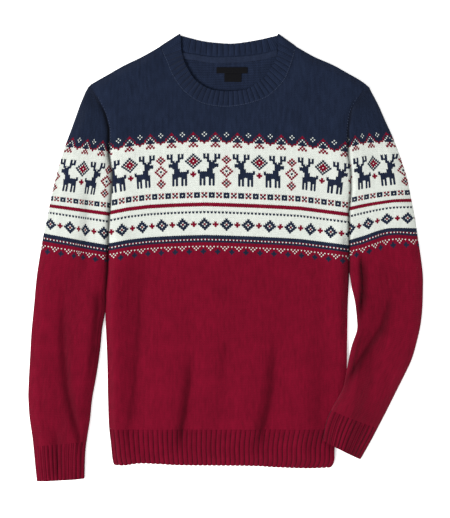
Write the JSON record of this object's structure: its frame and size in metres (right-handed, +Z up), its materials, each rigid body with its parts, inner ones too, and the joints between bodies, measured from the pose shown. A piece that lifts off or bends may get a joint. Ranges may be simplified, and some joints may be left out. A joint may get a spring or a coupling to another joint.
{
  "type": "knitted crew-neck sweater, laid flat",
  "caption": "Long-sleeved crew-neck knitted sweater laid flat, with ribbed neckband, cuffs and hem, and the right sleeve bent over the side.",
  "frame": {"origin": "centre of the laid garment's bounding box, on the surface it lies on", "axes": "+Z up off the surface and out of the garment's front, +Y from the hem towards the neck, +X towards the right of someone who looks down on the front"},
  "size_m": [0.6501, 0.7374, 0.0184],
  "materials": {
    "patterned_knit": "matte knit",
    "wine_knit": "matte rib knit",
    "navy_knit": "matte rib knit",
    "black_woven": "smooth woven"
  },
  "bodies": {
    "root": {"front": "patterned_knit", "back": "patterned_knit", "sleeve_left": "patterned_knit", "sleeve_right": "patterned_knit", "hem_rib_front": "wine_knit", "hem_rib_back": "wine_knit", "cuff_left": "wine_knit", "cuff_right": "wine_knit", "neckband": "navy_knit", "neck_tape": "navy_knit", "neck_label": "black_woven", "size_tab": "black_woven"}
  },
  "joints": []
}
